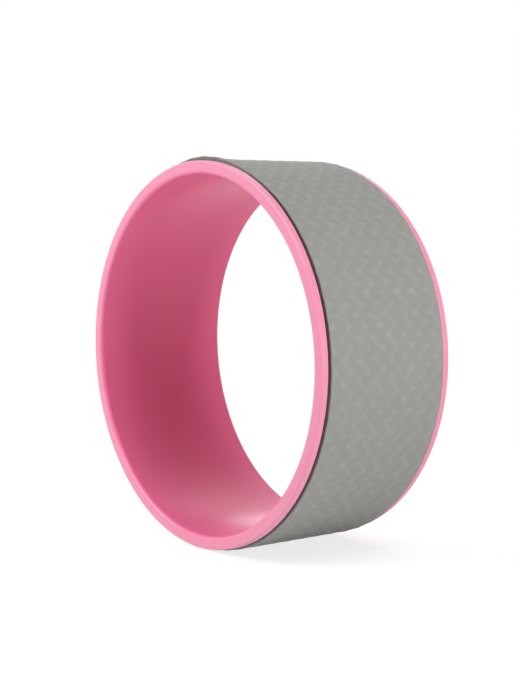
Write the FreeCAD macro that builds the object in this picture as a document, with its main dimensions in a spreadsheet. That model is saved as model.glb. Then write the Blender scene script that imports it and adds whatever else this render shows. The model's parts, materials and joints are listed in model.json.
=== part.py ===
import FreeCAD, Part
import math
import os
import Sketcher

# A yoga wheel: a moulded plastic hoop with a foam strip glued into the channel round its outside.
# The wheel stands on its tread with +Z up. Its axis is Y and its centre is the origin.
# Lengths are in millimetres and angles in degrees.

SIZES = {
    "hoop_width": 130.0,          # from one end face of the hoop to the other
    "bore_radius": 147.5,         # inside of the hoop
    "wall_thickness": 6.3,        # hoop wall under the strip
    "flange_height": 4.7,         # rim flange above the floor of the channel
    "flange_width": 6.5,          # rim flange along the axis
    "bore_edge_radius": 3.5,      # rounding between the bore and an end face
    "rim_edge_radius": 1.5,       # rounding between an end face and the rim
    "channel_edge_radius": 1.4,   # rounding between the rim and the channel
    "film_thickness": 0.2,        # double-sided film under the strip
    "pad_thickness": 6.0,         # foam strip
    "pad_edge_radius": 1.0,       # rounding of the strip's two outer edges
    "pad_clearance": 1.0,         # groove between the strip and each flange, were it laid in the middle
    "pad_shift": 0.7,             # how far towards +Y the strip is laid off the middle
    "seam_width": 0.4,            # glue line between the strip's two ends
    "seam_angle": 200.0,          # turn of the seam about the axis, from +X by way of -Z
}

# What several pieces share, worked out from the driving sizes.
CHANNEL_RADIUS = "Sizes.bore_radius + Sizes.wall_thickness"
PAD_RADIUS = f"{CHANNEL_RADIUS} + Sizes.film_thickness"
LAYERS = "Sizes.film_thickness + Sizes.pad_thickness"
PAD_WIDTH = "Sizes.hoop_width - 2 * (Sizes.flange_width + Sizes.pad_clearance)"
SEAM_SWEEP = f"Sizes.seam_width / ({CHANNEL_RADIUS} + {LAYERS}) * 180 / pi"

# Vertex numbers that the sketcher uses, and its own horizontal axis.
START = 1
END = 2
ORIGIN = (-1, 1)
HORIZONTAL_AXIS = -1

doc = FreeCAD.newDocument("YogaWheel")
sheet = doc.addObject("Spreadsheet::Sheet", "Sizes")
for row, (alias, value) in enumerate(SIZES.items(), 1):
    sheet.set(f"A{row}", alias)
    sheet.set(f"B{row}", str(value))
    sheet.setAlias(f"B{row}", alias)
doc.recompute()


def new_body(label):
    """A body with its own label, and the sketch of its cross-section: X is the radius, Y the axis."""
    body = doc.addObject("PartDesign::Body", label)
    body.Label = label
    sketch = body.newObject("Sketcher::SketchObject", f"{label}_section")
    planes = [plane for plane in body.Origin.OriginFeatures if plane.Role == "XY_Plane"]
    sketch.AttachmentSupport = (planes[0], [""])
    sketch.MapMode = "FlatFace"
    return body, sketch


def add_line(sketch, start, end):
    """A line between two points of the section."""
    return sketch.addGeometry(Part.LineSegment(FreeCAD.Vector(*start), FreeCAD.Vector(*end)))


def join(sketch, first, second):
    """The end of one edge meets the start of the next."""
    sketch.addConstraint(Sketcher.Constraint("Coincident", first, END, second, START))


def dimension(sketch, name, constraint, expression):
    """A named dimension of the section, driven by the sheet."""
    index = sketch.addConstraint(constraint)
    sketch.renameConstraint(index, name)
    sketch.setExpression(f"Constraints.{name}", expression)


def revolve(body, sketch, sweep, reverse=False):
    """The section turned about the wheel's axis."""
    ring = body.newObject("PartDesign::Revolution", f"{body.Label}_ring")
    ring.Profile = sketch
    ring.ReferenceAxis = (sketch, ["V_Axis"])
    ring.Reversed = reverse
    ring.setExpression("Angle", sweep)
    return ring


def ring_edges(feature, radius, axial):
    """Names of the feature's round edges of one radius, at the same distance either side of the middle."""
    names = []
    for number, edge in enumerate(feature.Shape.Edges, 1):
        curve = edge.Curve
        if not isinstance(curve, Part.Circle):
            continue
        if math.isclose(curve.Radius, radius) and math.isclose(abs(curve.Center.y), axial):
            names.append(f"Edge{number}")
    return names


def round_edges(body, feature, name, radius, axial, alias):
    """The feature with a pair of its round edges rounded to a size of the sheet."""
    doc.recompute()
    fillet = body.newObject("PartDesign::Fillet", name)
    fillet.Base = (feature, ring_edges(feature, radius, axial))
    fillet.setExpression("Radius", f"Sizes.{alias}")
    return fillet


def make_hoop():
    """The moulded hoop: a wall with a flange at each end, which makes an outward channel."""
    body, sketch = new_body("hoop")
    half = sheet.hoop_width / 2
    shoulder = half - sheet.flange_width
    bore = sheet.bore_radius
    floor = bore + sheet.wall_thickness
    rim = floor + sheet.flange_height
    corners = [
        (bore, -half),
        (rim, -half),
        (rim, -shoulder),
        (floor, -shoulder),
        (floor, shoulder),
        (rim, shoulder),
        (rim, half),
        (bore, half),
    ]
    edges = [add_line(sketch, start, end) for start, end in zip(corners, corners[1:] + corners[:1])]
    for edge, following in zip(edges, edges[1:] + edges[:1]):
        join(sketch, edge, following)
    low_end, low_rim, low_side, channel, high_side, high_rim, high_end, wall = edges
    for edge in (low_end, low_side, high_side, high_end):
        sketch.addConstraint(Sketcher.Constraint("Horizontal", edge))
    for edge in (low_rim, channel, high_rim):
        sketch.addConstraint(Sketcher.Constraint("Vertical", edge))
    sketch.addConstraint(Sketcher.Constraint("Symmetric", wall, START, wall, END, HORIZONTAL_AXIS))
    sketch.addConstraint(Sketcher.Constraint("Equal", low_rim, high_rim))
    sketch.addConstraint(Sketcher.Constraint("Equal", low_side, high_side))
    dimension(sketch, "bore", Sketcher.Constraint("DistanceX", *ORIGIN, wall, START, bore), "Sizes.bore_radius")
    dimension(
        sketch,
        "wall",
        Sketcher.Constraint("DistanceX", wall, START, channel, END, sheet.wall_thickness),
        "Sizes.wall_thickness",
    )
    dimension(
        sketch,
        "flange_height",
        Sketcher.Constraint("DistanceX", low_side, END, low_side, START, sheet.flange_height),
        "Sizes.flange_height",
    )
    dimension(
        sketch,
        "flange_width",
        Sketcher.Constraint("DistanceY", low_rim, START, low_rim, END, sheet.flange_width),
        "Sizes.flange_width",
    )
    dimension(
        sketch,
        "width",
        Sketcher.Constraint("DistanceY", wall, END, wall, START, sheet.hoop_width),
        "Sizes.hoop_width",
    )
    ring = revolve(body, sketch, "360")
    inner = round_edges(body, ring, "bore_edges", bore, half, "bore_edge_radius")
    outer = round_edges(body, inner, "rim_edges", rim, half, "rim_edge_radius")
    round_edges(body, outer, "channel_edges", rim, shoulder, "channel_edge_radius")
    return body


def layer_section(sketch, inner, thickness):
    """A rectangle of the pad's width that starts at a radius: its bottom, low, top and high sides."""
    width = 2 * (sheet.hoop_width / 2 - sheet.flange_width - sheet.pad_clearance)
    near = sheet.bore_radius + sheet.wall_thickness
    far = near + sheet.film_thickness + sheet.pad_thickness
    inset = sheet.pad_edge_radius
    half = width / 2
    bottom = add_line(sketch, (near, half), (near, -half))
    low = add_line(sketch, (near, -half), (far - inset, -half))
    top = add_line(sketch, (far, inset - half), (far, half - inset))
    high = add_line(sketch, (far - inset, half), (near, half))
    join(sketch, bottom, low)
    join(sketch, high, bottom)
    sketch.addConstraint(Sketcher.Constraint("Symmetric", bottom, START, bottom, END, HORIZONTAL_AXIS))
    sketch.addConstraint(Sketcher.Constraint("Horizontal", low))
    sketch.addConstraint(Sketcher.Constraint("Horizontal", high))
    sketch.addConstraint(Sketcher.Constraint("Vertical", top))
    dimension(sketch, "inner", Sketcher.Constraint("DistanceX", *ORIGIN, bottom, START, near), inner)
    dimension(
        sketch,
        "thickness",
        Sketcher.Constraint("DistanceX", bottom, START, top, START, far - near),
        thickness,
    )
    dimension(sketch, "width", Sketcher.Constraint("DistanceY", bottom, END, bottom, START, width), PAD_WIDTH)
    return low, top, high


def square_edges(sketch, low, top, high):
    """The top meets both sides at a sharp corner."""
    join(sketch, low, top)
    join(sketch, top, high)


def soft_edges(sketch, low, top, high):
    """The top meets both sides in an arc of the pad's edge radius."""
    arcs = []
    for before, after, first in ((low, top, -90), (top, high, 0)):
        centre = FreeCAD.Vector(
            sketch.Geometry[low].EndPoint.x,
            sketch.Geometry[top].StartPoint.y if first else sketch.Geometry[top].EndPoint.y,
        )
        circle = Part.Circle(centre, FreeCAD.Vector(0, 0, 1), sheet.pad_edge_radius)
        turn = Part.ArcOfCircle(circle, math.radians(first), math.radians(first + 90))
        arc = sketch.addGeometry(turn)
        sketch.addConstraint(Sketcher.Constraint("Tangent", before, END, arc, START))
        sketch.addConstraint(Sketcher.Constraint("Tangent", arc, END, after, START))
        arcs.append(arc)
    sketch.addConstraint(Sketcher.Constraint("Equal", *arcs))
    dimension(
        sketch,
        "edge_radius",
        Sketcher.Constraint("Radius", arcs[0], sheet.pad_edge_radius),
        "Sizes.pad_edge_radius",
    )


def lay_in_channel(body):
    """The piece turned about the wheel's axis, so that its cut ends lie at the seam, and moved along it."""
    body.Placement = FreeCAD.Placement(FreeCAD.Vector(), FreeCAD.Rotation(FreeCAD.Vector(0, 1, 0), 1))
    body.setExpression("Placement.Rotation.Angle", "Sizes.seam_angle")
    body.setExpression("Placement.Base.y", "Sizes.pad_shift")


def make_bonding_film():
    """The adhesive film on the floor of the channel, cut where the strip is cut."""
    body, sketch = new_body("bonding_film")
    square_edges(sketch, *layer_section(sketch, CHANNEL_RADIUS, "Sizes.film_thickness"))
    revolve(body, sketch, f"360 - {SEAM_SWEEP}")
    lay_in_channel(body)
    return body


def make_tread_pad():
    """The foam strip, bent once round the hoop on its film."""
    body, sketch = new_body("tread_pad")
    soft_edges(sketch, *layer_section(sketch, PAD_RADIUS, "Sizes.pad_thickness"))
    revolve(body, sketch, f"360 - {SEAM_SWEEP}")
    lay_in_channel(body)
    return body


def make_pad_seam():
    """The glue that fills the gap between the strip's two ends, down to the floor of the channel."""
    body, sketch = new_body("pad_seam")
    soft_edges(sketch, *layer_section(sketch, CHANNEL_RADIUS, LAYERS))
    revolve(body, sketch, SEAM_SWEEP, reverse=True)
    lay_in_channel(body)
    return body


pieces = [make_hoop(), make_bonding_film(), make_tread_pad(), make_pad_seam()]
doc.recompute()

for item in doc.Objects:
    if "Invalid" in item.State or "Error" in item.State:
        raise RuntimeError(f"{item.Label} failed: {item.State}")
for piece in pieces:
    if piece.Shape.isNull() or not piece.Shape.isValid():
        raise RuntimeError(f"{piece.Label} has no valid shape")

os.makedirs("parts", exist_ok=True)
for piece in pieces:
    piece.Shape.exportStep(f"parts/{piece.Label}.step")
    print(piece.Label, "volume", round(piece.Shape.Volume, 1), "solids", len(piece.Shape.Solids))
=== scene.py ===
import json
import math

import bpy
import numpy as np
from mathutils import Matrix, Vector


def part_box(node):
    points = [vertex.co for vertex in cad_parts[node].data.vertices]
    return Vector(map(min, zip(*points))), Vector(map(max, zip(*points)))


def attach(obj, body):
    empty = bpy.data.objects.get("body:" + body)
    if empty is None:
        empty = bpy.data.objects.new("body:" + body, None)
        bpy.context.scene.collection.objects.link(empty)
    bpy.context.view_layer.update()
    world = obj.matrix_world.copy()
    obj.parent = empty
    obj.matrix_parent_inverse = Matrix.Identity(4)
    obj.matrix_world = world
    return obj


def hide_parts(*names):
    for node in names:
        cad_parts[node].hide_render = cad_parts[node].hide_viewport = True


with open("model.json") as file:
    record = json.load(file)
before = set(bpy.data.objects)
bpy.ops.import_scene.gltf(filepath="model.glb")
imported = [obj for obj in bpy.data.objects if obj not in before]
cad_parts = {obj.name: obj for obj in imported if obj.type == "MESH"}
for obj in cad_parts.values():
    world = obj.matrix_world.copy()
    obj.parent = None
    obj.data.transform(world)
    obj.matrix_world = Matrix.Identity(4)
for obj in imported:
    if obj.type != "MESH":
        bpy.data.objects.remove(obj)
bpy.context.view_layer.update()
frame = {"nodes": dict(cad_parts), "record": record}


# Hoop.
# One injection moulding in pink ABS: a wide wall with a rim flange at each end, which leaves a channel
# for the pad round the outside. Every edge that a hand meets is rounded, and the finish is satin.

MM = 0.001
hoop_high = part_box("hoop")[1]
bore_mount = next(mount for mount in frame["record"]["mounts"] if mount["name"] == "bore")

HOOP_HALF_WIDTH = hoop_high.y
BORE_RADIUS = bore_mount["dims"]["r_mm"] * MM
BORE_EDGE_RADIUS = HOOP_HALF_WIDTH - bore_mount["dims"]["length_mm"] / 2 * MM
RIM_RADIUS = 158.5 * MM
RIM_EDGE_RADIUS = 1.5 * MM
FLANGE_WIDTH = 6.5 * MM
CHANNEL_RADIUS = 153.8 * MM
CHANNEL_EDGE_RADIUS = 1.4 * MM
CHANNEL_ROOT_RADIUS = 0.3 * MM
HOOP_STEPS = 480
SHARP_ANGLE = math.radians(50)
KNIT_ANGLE = math.radians(196.0)
KNIT_DEPTH = 0.06 * MM
KNIT_HALF_WIDTH = 1.1 * MM
KNIT_STEPS = 9
KNIT_CLEAR_HALF_WIDTHS = 1.5
WALL_PINKS = (0.918, 0.190, 0.375), (0.942, 0.196, 0.385)
# Painted light: a paler copy of the pink for every face outside the bore, standing in for the lamps' light
# and sheen on the rims.
PAINTED_RIM_LIGHT_PINKS = (0.890, 0.308, 0.453), (0.910, 0.316, 0.465)
PINK_DRIFT_SCALE = 14
PINK_GLOSS_SCALE = 60
MOULD_GRAIN_SCALE = 2600
MOULD_GRAIN_DEPTH = 0.02 * MM


def rounded_section(corners, radii, steps=7, support=0.4 * MM):
    """Closed outline of a right-angled section: each corner becomes a quarter circle of its own radius.
    With a and b the directions from a corner to its neighbours, and r its radius, the quarter circle's centre
    is corner + r(a + b), and its points are centre - r(b cos t + a sin t) for t from 0 to a quarter turn.
    One more point each side of it holds the straight runs flat."""
    to_last = np.roll(corners, 1, 0) - corners
    to_next = np.roll(corners, -1, 0) - corners
    to_last = (to_last / np.linalg.norm(to_last, axis=1, keepdims=True))[:, None]
    to_next = (to_next / np.linalg.norm(to_next, axis=1, keepdims=True))[:, None]
    t = np.linspace(0, math.pi / 2, steps)[None, :, None]
    r = np.asarray(radii)[:, None, None]
    centre = corners[:, None] + r * (to_last + to_next)
    arcs = centre - r * (to_next * np.cos(t) + to_last * np.sin(t))
    before = arcs[:, :1] + support * to_last
    after = arcs[:, -1:] + support * to_next
    return np.concatenate([before, arcs, after], 1).reshape(-1, 2)


def surface(name, points, closed_path, material):
    """Mesh of a closed outline carried along a path. points is an array of path steps by outline steps by 3.
    Each quad joins a point to the next along the path and the next round the outline. An open path gets
    a flat cap at each end, and a closed one joins its last step to its first."""
    steps, around = points.shape[:2]
    index = np.arange(steps * around).reshape(steps, around)
    here = index if closed_path else index[:-1]
    ahead = np.roll(index, -1, 0) if closed_path else index[1:]
    quads = np.stack([here, np.roll(here, -1, 1), np.roll(ahead, -1, 1), ahead], -1).reshape(-1, 4)
    faces = quads.tolist()
    if not closed_path:
        faces += [index[0, ::-1].tolist(), index[-1].tolist()]
    mesh = bpy.data.meshes.new(name)
    mesh.from_pydata(points.reshape(-1, 3), [], faces)
    mesh.polygons.foreach_set("use_smooth", np.ones(len(faces), bool))
    mesh.set_sharp_from_angle(angle=SHARP_ANGLE)
    mesh.materials.append(material)
    piece = bpy.data.objects.new(name, mesh)
    bpy.context.scene.collection.objects.link(piece)
    return piece


def hold_values(piece, name, values):
    """Stores one value for each point of the piece's mesh, under a name that its material reads."""
    held = piece.data.attributes.new(name, "FLOAT", "POINT").data
    held.foreach_set("value", np.ravel(values).astype(np.float32))


def around_axis(radius, angle, axial):
    """Points at a radius and an angle about the wheel's axis, from +X towards +Z, and a place along it."""
    return np.stack(np.broadcast_arrays(radius * np.cos(angle), axial, radius * np.sin(angle)), -1)


def new_material(name, **sockets):
    """A node material with a Principled shader whose own sockets hold the constant values."""
    material = bpy.data.materials.new(name)
    material.use_nodes = True
    shader = material.node_tree.nodes["Principled BSDF"]
    for socket, value in sockets.items():
        shader.inputs[socket.replace("_", " ")].default_value = value
    return material, material.node_tree, shader


def noise(tree, scale, detail):
    """A noise texture on the piece's Object coordinates. scale is in features per metre."""
    place = tree.nodes.new("ShaderNodeTexCoord")
    texture = tree.nodes.new("ShaderNodeTexNoise")
    texture.inputs["Scale"].default_value = scale
    texture.inputs["Detail"].default_value = detail
    tree.links.new(place.outputs["Object"], texture.inputs["Vector"])
    return texture.outputs["Fac"]


def ramp(tree, factor, low, high, start=0.3, end=0.7):
    """Colour low up to where the factor is start, colour high from where it is end, and a blend between."""
    node = tree.nodes.new("ShaderNodeValToRGB")
    for element, position, colour in zip(node.color_ramp.elements, (start, end), (low, high)):
        element.position = position
        element.color = (*colour, 1)
    tree.links.new(factor, node.inputs["Fac"])
    return node.outputs["Color"]


def span(tree, factor, low, high, start=0.3, end=0.7):
    """A factor between start and end, carried to a value between low and high."""
    node = tree.nodes.new("ShaderNodeMapRange")
    node.inputs["From Min"].default_value = start
    node.inputs["From Max"].default_value = end
    node.inputs["To Min"].default_value = low
    node.inputs["To Max"].default_value = high
    tree.links.new(factor, node.inputs["Value"])
    return node.outputs["Result"]


def bump(tree, shader, height, distance, strength):
    """Fine relief on the shader's normal. distance is the relief's depth in metres."""
    node = tree.nodes.new("ShaderNodeBump")
    node.inputs["Distance"].default_value = distance
    node.inputs["Strength"].default_value = strength
    tree.links.new(height, node.inputs["Height"])
    tree.links.new(node.outputs["Normal"], shader.inputs["Normal"])


def blend_colours(tree, factor, low, high):
    """Colour low where the factor is 0 and colour high where it is 1."""
    node = tree.nodes.new("ShaderNodeMix")
    node.data_type = "RGBA"
    tree.links.new(factor, node.inputs["Factor"])
    tree.links.new(low, node.inputs["A"])
    tree.links.new(high, node.inputs["B"])
    return node.outputs["Result"]


def attribute(tree, name):
    """A value that the piece's mesh holds at each of its points."""
    node = tree.nodes.new("ShaderNodeAttribute")
    node.attribute_name = name
    return node.outputs["Fac"]


def pink_plastic():
    """Satin ABS: a slow drift of the pink, a paler pink outside the bore that is painted light and sheen on
    the rims and end faces, a spark-eroded fine grain and a slightly patchy gloss."""
    material, tree, shader = new_material("satin_pink_abs", Specular_IOR_Level=0.3)
    drift = noise(tree, PINK_DRIFT_SCALE, detail=3)
    wall = ramp(tree, drift, *WALL_PINKS)
    # Painted light: the paler copy of the pink for the rims and end faces.
    painted_rim_light = ramp(tree, drift, *PAINTED_RIM_LIGHT_PINKS)
    tint = blend_colours(tree, attribute(tree, "painted_rim_light"), wall, painted_rim_light)
    gloss = span(tree, noise(tree, PINK_GLOSS_SCALE, detail=4), low=0.285, high=0.305)
    tree.links.new(tint, shader.inputs["Base Color"])
    tree.links.new(gloss, shader.inputs["Roughness"])
    bump(tree, shader, noise(tree, MOULD_GRAIN_SCALE, detail=1), MOULD_GRAIN_DEPTH, strength=0.5)
    return material


shoulder = HOOP_HALF_WIDTH - FLANGE_WIDTH
hoop_corners = np.array([
    (BORE_RADIUS, HOOP_HALF_WIDTH),
    (RIM_RADIUS, HOOP_HALF_WIDTH),
    (RIM_RADIUS, shoulder),
    (CHANNEL_RADIUS, shoulder),
    (CHANNEL_RADIUS, -shoulder),
    (RIM_RADIUS, -shoulder),
    (RIM_RADIUS, -HOOP_HALF_WIDTH),
    (BORE_RADIUS, -HOOP_HALF_WIDTH),
])
half_radii = [BORE_EDGE_RADIUS, RIM_EDGE_RADIUS, CHANNEL_EDGE_RADIUS, CHANNEL_ROOT_RADIUS]
hoop_outline = rounded_section(hoop_corners, half_radii + half_radii[::-1])

# The knit line is where the two melt fronts met: a shallow groove across the bore, about 2 mm wide.
# Its depth falls off as a cosine from its middle, and it is only cut into points on the bore's wall.
knit_half_angle = KNIT_HALF_WIDTH / BORE_RADIUS
knit_angles = KNIT_ANGLE + np.linspace(-1, 1, KNIT_STEPS) * knit_half_angle
even_angles = np.linspace(0, 2 * math.pi, HOOP_STEPS, endpoint=False)
clear_of_knit = np.abs(even_angles - KNIT_ANGLE) > KNIT_CLEAR_HALF_WIDTHS * knit_half_angle
hoop_angles = np.sort(np.concatenate([even_angles[clear_of_knit], knit_angles]))[:, None]
from_knit = np.clip(np.abs(hoop_angles - KNIT_ANGLE) / knit_half_angle, 0, 1)
on_bore = np.isclose(hoop_outline[:, 0], BORE_RADIUS)
knit_cut = KNIT_DEPTH * (1 + np.cos(math.pi * from_knit)) / 2 * on_bore
hoop_points = around_axis(hoop_outline[:, 0] + knit_cut, hoop_angles, hoop_outline[:, 1])
hoop = surface("moulded_hoop", hoop_points, True, pink_plastic())
# Painted light: 0 on the bore, rising across the bore's edge rounding to 1 on every face outside it, which
# takes the paler pink.
painted_rim_light_share = np.clip((hoop_outline[:, 0] - BORE_RADIUS) / BORE_EDGE_RADIUS, 0, 1)
hold_values(hoop, "painted_rim_light", np.broadcast_to(painted_rim_light_share, hoop_points.shape[:2]))
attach(hoop, "root")
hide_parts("hoop")


# Bonding film.
# A double-sided acrylic film on the floor of the channel, the width of the pad.
# Only its thin edge can be seen, deep in the groove beside the pad.

FILM_CREAMS = (0.62, 0.58, 0.48), (0.74, 0.71, 0.62)
FILM_PATCH_SCALE = 120
FILM_GLOSS_SCALE = 300


def adhesive_film():
    """Tacky cream film: faint milky patches under a soft gloss."""
    material, tree, shader = new_material("cream_adhesive_film", Specular_IOR_Level=0.5)
    milky = ramp(tree, noise(tree, FILM_PATCH_SCALE, detail=3), *FILM_CREAMS)
    gloss = span(tree, noise(tree, FILM_GLOSS_SCALE, detail=2), low=0.35, high=0.6)
    tree.links.new(milky, shader.inputs["Base Color"])
    tree.links.new(gloss, shader.inputs["Roughness"])
    return material


film = frame["nodes"]["bonding_film"]
film.data.materials.clear()
film.data.materials.append(adhesive_film())


# Tread pad.
# One strip of closed-cell TPE foam, cut to width from an embossed sheet, bent once round the hoop and
# glued down. Its face carries rows of raised zigzags with a thick knot at each corner, and near the top of
# the wheel its front edge has sprung a little out of the channel.

film_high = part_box("bonding_film")[1]
pad_low, pad_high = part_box("tread_pad")
seam_low, seam_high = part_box("pad_seam")
seam_centre = (seam_low + seam_high) / 2
seam_angle = math.atan2(seam_centre.z, seam_centre.x)

PAD_RADIUS = 160.0 * MM
PAD_UNDERSIDE = film_high.z
PAD_HALF_WIDTH = (pad_high.y - pad_low.y) / 2
PAD_MIDDLE = (pad_high.y + pad_low.y) / 2
PAD_EDGE_RADIUS = 1.0 * MM
PAD_EDGE_STEPS = 4
UNDERSIDE_SPANS = 8
SEAM_WIDTH = 0.4 * MM
ZIGZAG_PITCH = 17.0 * MM
ZIGZAG_TURN = 0.915
ZIGZAG_REACH = 4.7 * MM
ZIGZAG_SPACING = 15.7 * MM
ZIGZAG_OFFSET = 4.7 * MM
ZIGZAG_SHARPNESS = 0.97
ZIGZAGS_EACH_WAY = 5
RIDGE_HEIGHT = 0.4 * MM
RIDGE_FOOT_HALF_WIDTHS = 1.5
STROKE_HALF_WIDTH = 1.8 * MM
STROKE_HEIGHT = 0.45
KNOT_HALF_WIDTH = 2.6 * MM
KNOT_LENGTH = 2.2 * MM
ROWS_PER_ZIGZAG = 12
COLUMNS_BESIDE_LINE = np.array([0.6, 1.2, 1.8, 2.4, 3.0, 4.2, 6.0]) * MM
COLUMN_MARGIN = 0.4 * MM
EDGE_FADE = 8.0 * MM
LIFT_HEIGHT = 2.6 * MM
LIFT_ANGLE = math.radians(93)
LIFT_HALF_SPAN = math.radians(26)
LIFT_DEPTH = 28 * MM
HOLLOW_TO_RIDGE_GREYS = (0.312, 0.314, 0.292), (0.352, 0.354, 0.329)
MOTTLE_SHADES = (0.97, 0.97, 0.97), (1.02, 1.02, 1.02)
CUT_GREYS = (0.15, 0.15, 0.142), (0.23, 0.23, 0.218)
RIDGE_PATCH_SCALE = 150
MOTTLE_SCALE = 90
PORE_SCALE = 1400
SKIN_SCALE = 2200
SKIN_DEPTH = 0.06 * MM


def smooth(x):
    """0 below 0, 1 above 1, and 3x^2 - 2x^3 between."""
    x = np.clip(x, 0, 1)
    return x * x * (3 - 2 * x)


def zigzag(arc):
    """Sideways place of a zigzag's line at a distance along the strip: a triangle wave of one reach either
    way, asin(k sin(phase)) / asin(k), whose corners are as sharp as k is near 1."""
    phase = 2 * math.pi * (arc / ZIGZAG_PITCH - ZIGZAG_TURN) + math.pi / 2
    return ZIGZAG_REACH * np.arcsin(ZIGZAG_SHARPNESS * np.sin(phase)) / math.asin(ZIGZAG_SHARPNESS)


def ridge(arc, axial):
    """Height of the embossing, from 0 to 1. The distance to the nearest zigzag, measured square to its line,
    is compared with the line's half width. Both that width and the height swell in a bell curve at every
    corner, which makes the knots."""
    step = 0.01 * ZIGZAG_PITCH
    slope = (zigzag(arc + step) - zigzag(arc - step)) / (2 * step)
    sideways = axial - zigzag(arc) - ZIGZAG_OFFSET
    sideways = (sideways + ZIGZAG_SPACING / 2) % ZIGZAG_SPACING - ZIGZAG_SPACING / 2
    square = np.abs(sideways) / np.sqrt(1 + slope**2)
    half_pitch = ZIGZAG_PITCH / 2
    from_corner = (arc - ZIGZAG_TURN * ZIGZAG_PITCH + half_pitch / 2) % half_pitch - half_pitch / 2
    knot = np.exp(-((from_corner / KNOT_LENGTH) ** 2))
    half_width = STROKE_HALF_WIDTH + (KNOT_HALF_WIDTH - STROKE_HALF_WIDTH) * knot
    height = STROKE_HEIGHT + (1 - STROKE_HEIGHT) * knot
    return height * smooth(RIDGE_FOOT_HALF_WIDTHS - square / half_width)


def edge_lift(angle, axial):
    """How far the strip has sprung outwards: a cosine-squared swell along the front edge, which dies away
    as a square with the distance from that edge."""
    along = np.clip((angle - LIFT_ANGLE) / LIFT_HALF_SPAN, -1, 1)
    inwards = np.clip(1 - (axial + PAD_HALF_WIDTH) / LIFT_DEPTH, 0, 1)
    return LIFT_HEIGHT * np.cos(along * math.pi / 2) ** 2 * inwards**2


def foam():
    """Grey TPE foam: ridges a little paler and smoother than the hollows, the paleness varying in patches, a
    fine closed-cell skin, a faint mottle from the sheet's rollers, and darker open pores on the cut sides."""
    material, tree, shader = new_material("grey_tpe_foam", Specular_IOR_Level=0.35)
    # The grey is darker in the hollows and paler on the ridges, by the relief height, and more so in some
    # patches than others.
    relief = attribute(tree, "relief")
    patchy = tree.nodes.new("ShaderNodeMath")
    patchy.operation = "MULTIPLY"
    ridge_patches = span(tree, noise(tree, RIDGE_PATCH_SCALE, detail=2), low=0.2, high=1.05)
    tree.links.new(relief, patchy.inputs[0])
    tree.links.new(ridge_patches, patchy.inputs[1])
    ridge_grey = ramp(tree, patchy.outputs["Value"], *HOLLOW_TO_RIDGE_GREYS, start=0, end=1)
    mottle = ramp(tree, noise(tree, MOTTLE_SCALE, detail=4), *MOTTLE_SHADES)
    mottled = tree.nodes.new("ShaderNodeMix")
    mottled.data_type = "RGBA"
    mottled.blend_type = "MULTIPLY"
    mottled.inputs["Factor"].default_value = 1.0
    tree.links.new(ridge_grey, mottled.inputs["A"])
    tree.links.new(mottle, mottled.inputs["B"])
    pores = ramp(tree, noise(tree, PORE_SCALE, detail=2), *CUT_GREYS, start=0.4, end=0.6)
    grey = blend_colours(tree, attribute(tree, "cut"), mottled.outputs["Result"], pores)
    gloss = span(tree, relief, low=0.78, high=0.66, start=0, end=1)
    tree.links.new(grey, shader.inputs["Base Color"])
    tree.links.new(gloss, shader.inputs["Roughness"])
    bump(tree, shader, noise(tree, SKIN_SCALE, detail=3), SKIN_DEPTH, strength=0.6)
    return material


# Rows of the strip's grid are spread twelve to a zigzag, so that every corner has its own row.
# Columns follow the zigzags across the face, close together on each ridge, and straighten near the edges.
seam_half = SEAM_WIDTH / 2 / PAD_RADIUS
first = seam_angle - 2 * math.pi + seam_half
last = seam_angle - seam_half
row_step = ZIGZAG_PITCH / PAD_RADIUS / ROWS_PER_ZIGZAG
row_phase = ZIGZAG_TURN * ZIGZAG_PITCH / PAD_RADIUS
row_numbers = np.arange(math.ceil((first - row_phase) / row_step), (last - row_phase) / row_step)
rows = row_phase + row_step * row_numbers
end_gap = row_step / 3
rows = rows[(rows > first + end_gap) & (rows < last - end_gap)]
strip_angle = np.concatenate([[first], rows, [last]])[:, None]
strip_arc = strip_angle * PAD_RADIUS

across_one = np.concatenate([-COLUMNS_BESIDE_LINE[::-1], [0], COLUMNS_BESIDE_LINE, [ZIGZAG_SPACING / 2]])
zigzag_lines = ZIGZAG_OFFSET + ZIGZAG_SPACING * np.arange(-ZIGZAGS_EACH_WAY, ZIGZAGS_EACH_WAY + 1)
columns = (zigzag_lines[:, None] + across_one).ravel()
face_half = PAD_HALF_WIDTH - PAD_EDGE_RADIUS
columns = columns[np.abs(columns) < face_half - COLUMN_MARGIN]
columns = np.concatenate([[-face_half], columns, [face_half]])
follow = smooth((face_half - np.abs(columns)) / EDGE_FADE)
face_axial = columns + zigzag(strip_arc) * follow
face_relief = ridge(strip_arc, face_axial)
face_radius = PAD_RADIUS - RIDGE_HEIGHT * (1 - face_relief)

# Each edge of the strip turns down in a quarter circle, and the cut sides drop square to the film.
turn = np.linspace(0, math.pi / 2, PAD_EDGE_STEPS + 1)[1:]
turn_drop = PAD_EDGE_RADIUS * (1 - np.cos(turn))
turn_out = face_half + PAD_EDGE_RADIUS * np.sin(turn)
side_share = np.array([0.5, 1.0])
back_edge = face_radius[:, -1:] - turn_drop
back_side = back_edge[:, -1:] + (PAD_UNDERSIDE - back_edge[:, -1:]) * side_share
front_edge = (face_radius[:, :1] - turn_drop)[:, ::-1]
front_side = (front_edge[:, :1] + (PAD_UNDERSIDE - front_edge[:, :1]) * side_share)[:, ::-1]
side_axial = np.full(len(side_share), PAD_HALF_WIDTH)
under_axial = np.linspace(PAD_HALF_WIDTH, -PAD_HALF_WIDTH, UNDERSIDE_SPANS + 1)[1:-1]
under_radius = np.full((len(strip_angle), len(under_axial)), PAD_UNDERSIDE)
strip_radius = np.concatenate([face_radius, back_edge, back_side, under_radius, front_side, front_edge], 1)
fixed_axial = np.concatenate([turn_out, side_axial, under_axial, -side_axial, -turn_out[::-1]])
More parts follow.
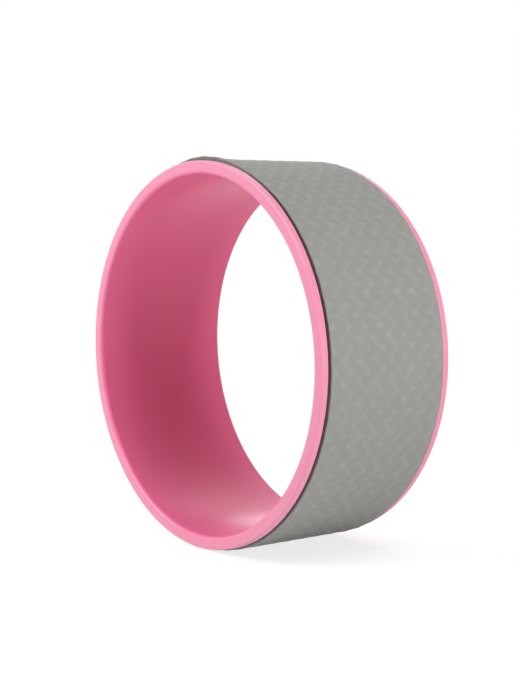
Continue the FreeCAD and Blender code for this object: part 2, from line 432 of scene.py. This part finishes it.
fixed_axial = np.broadcast_to(fixed_axial, (len(strip_angle), len(fixed_axial)))
strip_axial = np.concatenate([face_axial, fixed_axial], 1)
strip_radius = strip_radius + edge_lift(strip_angle, strip_axial)
strip_points = around_axis(strip_radius, strip_angle, PAD_MIDDLE + strip_axial)

pad = surface("tread_strip", strip_points, False, foam())
strip_relief = np.zeros(strip_radius.shape)
strip_relief[:, : len(columns)] = face_relief
hold_values(pad, "relief", strip_relief)
edge_cut = np.linspace(0, 1, len(turn)) ** 2
full_cut = np.ones(2 * len(side_share) + len(under_axial))
section_cut = np.concatenate([np.zeros(len(columns)), edge_cut, full_cut, edge_cut[::-1]])
hold_values(pad, "cut", np.broadcast_to(section_cut, strip_radius.shape))
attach(pad, "root")
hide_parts("tread_pad")


# Pad seam.
# Contact adhesive in the butt joint where the strip's two cut ends meet, wiped off a little below the face.
# It fills the gap down to the floor of the channel.

SEAM_RECESS = 0.6 * MM
SEAM_TOP = PAD_RADIUS - SEAM_RECESS
SEAM_STEPS = 90
SEAM_SIDES = np.array([1, 1, 0.5, 0, -0.5, -1, -1]) * SEAM_WIDTH / 2
SEAM_DISH = np.array([0, 0, 0.08, 0.12, 0.08, 0, 0]) * MM
SEAM_IS_TOP = np.array([0, 1, 1, 1, 1, 1, 0])
SEAM_WANDER = 0.1 * MM
SEAM_LONG_WAVE = 9 * MM
SEAM_SHORT_WAVE = 4 * MM
SEAM_WAVE_SHIFT = 1
GLUE_DARKS = (0.16, 0.16, 0.15), (0.24, 0.24, 0.225)
GLUE_TONE_SCALE = 500
GLUE_GLOSS_SCALE = 900
GLUE_LUMP_SCALE = 1500
GLUE_LUMP_DEPTH = 0.05 * MM


def seam_glue():
    """Dried contact adhesive: dark, slightly glossy and lumpy."""
    material, tree, shader = new_material("dried_seam_glue", Specular_IOR_Level=0.5)
    dark = ramp(tree, noise(tree, GLUE_TONE_SCALE, detail=3), *GLUE_DARKS)
    gloss = span(tree, noise(tree, GLUE_GLOSS_SCALE, detail=2), low=0.4, high=0.6)
    tree.links.new(dark, shader.inputs["Base Color"])
    tree.links.new(gloss, shader.inputs["Roughness"])
    bump(tree, shader, noise(tree, GLUE_LUMP_SCALE, detail=2), GLUE_LUMP_DEPTH, strength=0.6)
    return material


# The bead's outline is a thin slab with a dished top, carried along the axis. Its top wanders by a tenth of
# a millimetre either way in two slow waves.
seam_axial = np.linspace(-1, 1, SEAM_STEPS)[:, None] * (PAD_HALF_WIDTH - PAD_EDGE_RADIUS)
long_wave = np.sin(seam_axial / SEAM_LONG_WAVE)
short_wave = np.sin(seam_axial / SEAM_SHORT_WAVE + SEAM_WAVE_SHIFT)
seam_wander = SEAM_WANDER * (long_wave + short_wave) / 2
seam_height = np.where(SEAM_IS_TOP, SEAM_TOP - SEAM_DISH + seam_wander, CHANNEL_RADIUS)
seam_points = around_axis(seam_height, seam_angle + SEAM_SIDES / PAD_RADIUS, PAD_MIDDLE + seam_axial)
seam = surface("seam_bead", seam_points, False, seam_glue())
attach(seam, "root")
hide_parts("pad_seam")


# Studio.
# A plain white floor under the wheel, white all round, and five soft lamps: one to the front, two to the left
# and two to the right. The white is what the camera and the reflections see, and it gives little light.

FLOOR_HALF = 4.0
FLOOR_PAPER = 0.8
FLOOR_GLOW = 0.75
FLOOR_SHADE = 0.4
FLOOR_FADE_START = 0.35
FLOOR_FADE_END = 0.75
AMBIENT = 0.03
CAMERA_AZIMUTH = math.radians(52.337)
CAMERA_ELEVATION = math.radians(5.065)
CAMERA_DISTANCE = 1257.4 * MM
WHEEL_RIGHT_OF_CENTRE = 1.67 * MM
WHEEL_BELOW_CENTRE = 6.36 * MM
PHOTO_HEIGHT = 688
FOCAL_PIXELS = 1493.1
SENSOR_WIDTH = 36


def seen_directly(tree):
    """1 on rays from the camera, a reflection or a clear material, and 0 on those that carry light."""
    path = tree.nodes.new("ShaderNodeLightPath")
    total = path.outputs["Is Camera Ray"]
    for ray in ("Is Glossy Ray", "Is Transmission Ray"):
        larger = tree.nodes.new("ShaderNodeMath")
        larger.operation = "MAXIMUM"
        tree.links.new(total, larger.inputs[0])
        tree.links.new(path.outputs[ray], larger.inputs[1])
        total = larger.outputs["Value"]
    return total


def white_floor():
    """Matt white paper. Where it is seen, most of its white is its own and the rest is lit, so it keeps the
    wheel's shadow, and away from the wheel it runs out into the white of the studio."""
    material = bpy.data.materials.new("white_paper_floor")
    material.use_nodes = True
    tree = material.node_tree
    tree.nodes.remove(tree.nodes["Principled BSDF"])
    shaders = {}
    for name, kind, colour in (
        ("paper", "ShaderNodeBsdfDiffuse", FLOOR_PAPER),
        ("shaded", "ShaderNodeBsdfDiffuse", FLOOR_SHADE),
        ("glow", "ShaderNodeEmission", FLOOR_GLOW),
        ("white", "ShaderNodeEmission", 1.0),
    ):
        node = tree.nodes.new(kind)
        node.inputs["Color"].default_value = (colour, colour, colour, 1)
        shaders[name] = node.outputs[0]

    def join(kind, first_shader, second_shader, factor=None):
        """One shader from two: their sum, or their mix by a factor."""
        node = tree.nodes.new(kind)
        sockets = [socket for socket in node.inputs if socket.type == "SHADER"]
        tree.links.new(first_shader, sockets[0])
        tree.links.new(second_shader, sockets[1])
        if factor is not None:
            tree.links.new(factor, node.inputs["Fac"])
        return node.outputs["Shader"]

    place = tree.nodes.new("ShaderNodeTexCoord")
    reach = tree.nodes.new("ShaderNodeVectorMath")
    reach.operation = "LENGTH"
    tree.links.new(place.outputs["Object"], reach.inputs[0])
    away = span(tree, reach.outputs["Value"], low=0, high=1, start=FLOOR_FADE_START, end=FLOOR_FADE_END)
    near = join("ShaderNodeAddShader", shaders["shaded"], shaders["glow"])
    seen = join("ShaderNodeMixShader", near, shaders["white"], away)
    whole = join("ShaderNodeMixShader", shaders["paper"], seen, seen_directly(tree))
    tree.links.new(whole, tree.nodes["Material Output"].inputs["Surface"])
    return material


def towards(azimuth, elevation):
    """Unit vector from the wheel to a place seen at that azimuth from the front and that elevation."""
    flat = math.cos(elevation)
    return Vector((math.sin(azimuth) * flat, -math.cos(azimuth) * flat, math.sin(elevation)))


def softbox(name, azimuth, elevation, distance, width, height, power):
    """A wide area lamp that faces the wheel. Its angles are in degrees and its power in watts."""
    lamp = bpy.data.lights.new(name, "AREA")
    lamp.shape = "RECTANGLE"
    lamp.size = width
    lamp.size_y = height
    lamp.energy = power
    lamp_object = bpy.data.objects.new(name, lamp)
    direction = towards(math.radians(azimuth), math.radians(elevation))
    lamp_object.location = direction * distance
    lamp_object.rotation_euler = direction.to_track_quat("Z", "Y").to_euler()
    bpy.context.scene.collection.objects.link(lamp_object)


floor_mesh = bpy.data.meshes.new("studio_floor")
floor_corners = np.array([(-1, -1), (1, -1), (1, 1), (-1, 1)]) * FLOOR_HALF
floor_mesh.from_pydata(np.column_stack([floor_corners, np.full(4, -PAD_RADIUS)]), [], [(0, 1, 2, 3)])
floor_mesh.materials.append(white_floor())
floor = bpy.data.objects.new("studio_floor", floor_mesh)
bpy.context.scene.collection.objects.link(floor)

world = bpy.data.worlds.new("white_studio")
bpy.context.scene.world = world
world.use_nodes = True
background = world.node_tree.nodes["Background"]
background.inputs["Color"].default_value = (1, 1, 1, 1)
strength = span(world.node_tree, seen_directly(world.node_tree), low=AMBIENT, high=1, start=0, end=1)
world.node_tree.links.new(strength, background.inputs["Strength"])

softbox("front_softbox", azimuth=-28, elevation=27, distance=2.4, width=1.6, height=1.0, power=47)
softbox("left_softbox", azimuth=-108, elevation=13, distance=1.6, width=1.4, height=0.8, power=8.8)
softbox("left_rear_softbox", azimuth=-152, elevation=34, distance=1.6, width=0.9, height=0.9, power=2.0)
softbox("right_high_softbox", azimuth=90, elevation=63, distance=1.6, width=0.9, height=0.9, power=11.5)
softbox("right_low_softbox", azimuth=90, elevation=3.5, distance=1.6, width=0.5, height=0.3, power=11.0)

camera = bpy.data.cameras.new("camera")
camera.sensor_width = SENSOR_WIDTH
camera.lens = FOCAL_PIXELS / PHOTO_HEIGHT * SENSOR_WIDTH
back = towards(CAMERA_AZIMUTH, CAMERA_ELEVATION)
right = Vector((0, 0, 1)).cross(back).normalized()
up = back.cross(right)
camera_object = bpy.data.objects.new("camera", camera)
eye = back * CAMERA_DISTANCE - right * WHEEL_RIGHT_OF_CENTRE + up * WHEEL_BELOW_CENTRE
camera_object.matrix_world = Matrix.Translation(eye) @ Matrix((right, up, back)).transposed().to_4x4()
bpy.context.scene.collection.objects.link(camera_object)
bpy.context.scene.camera = camera_object
bpy.context.scene.view_settings.view_transform = "Standard"
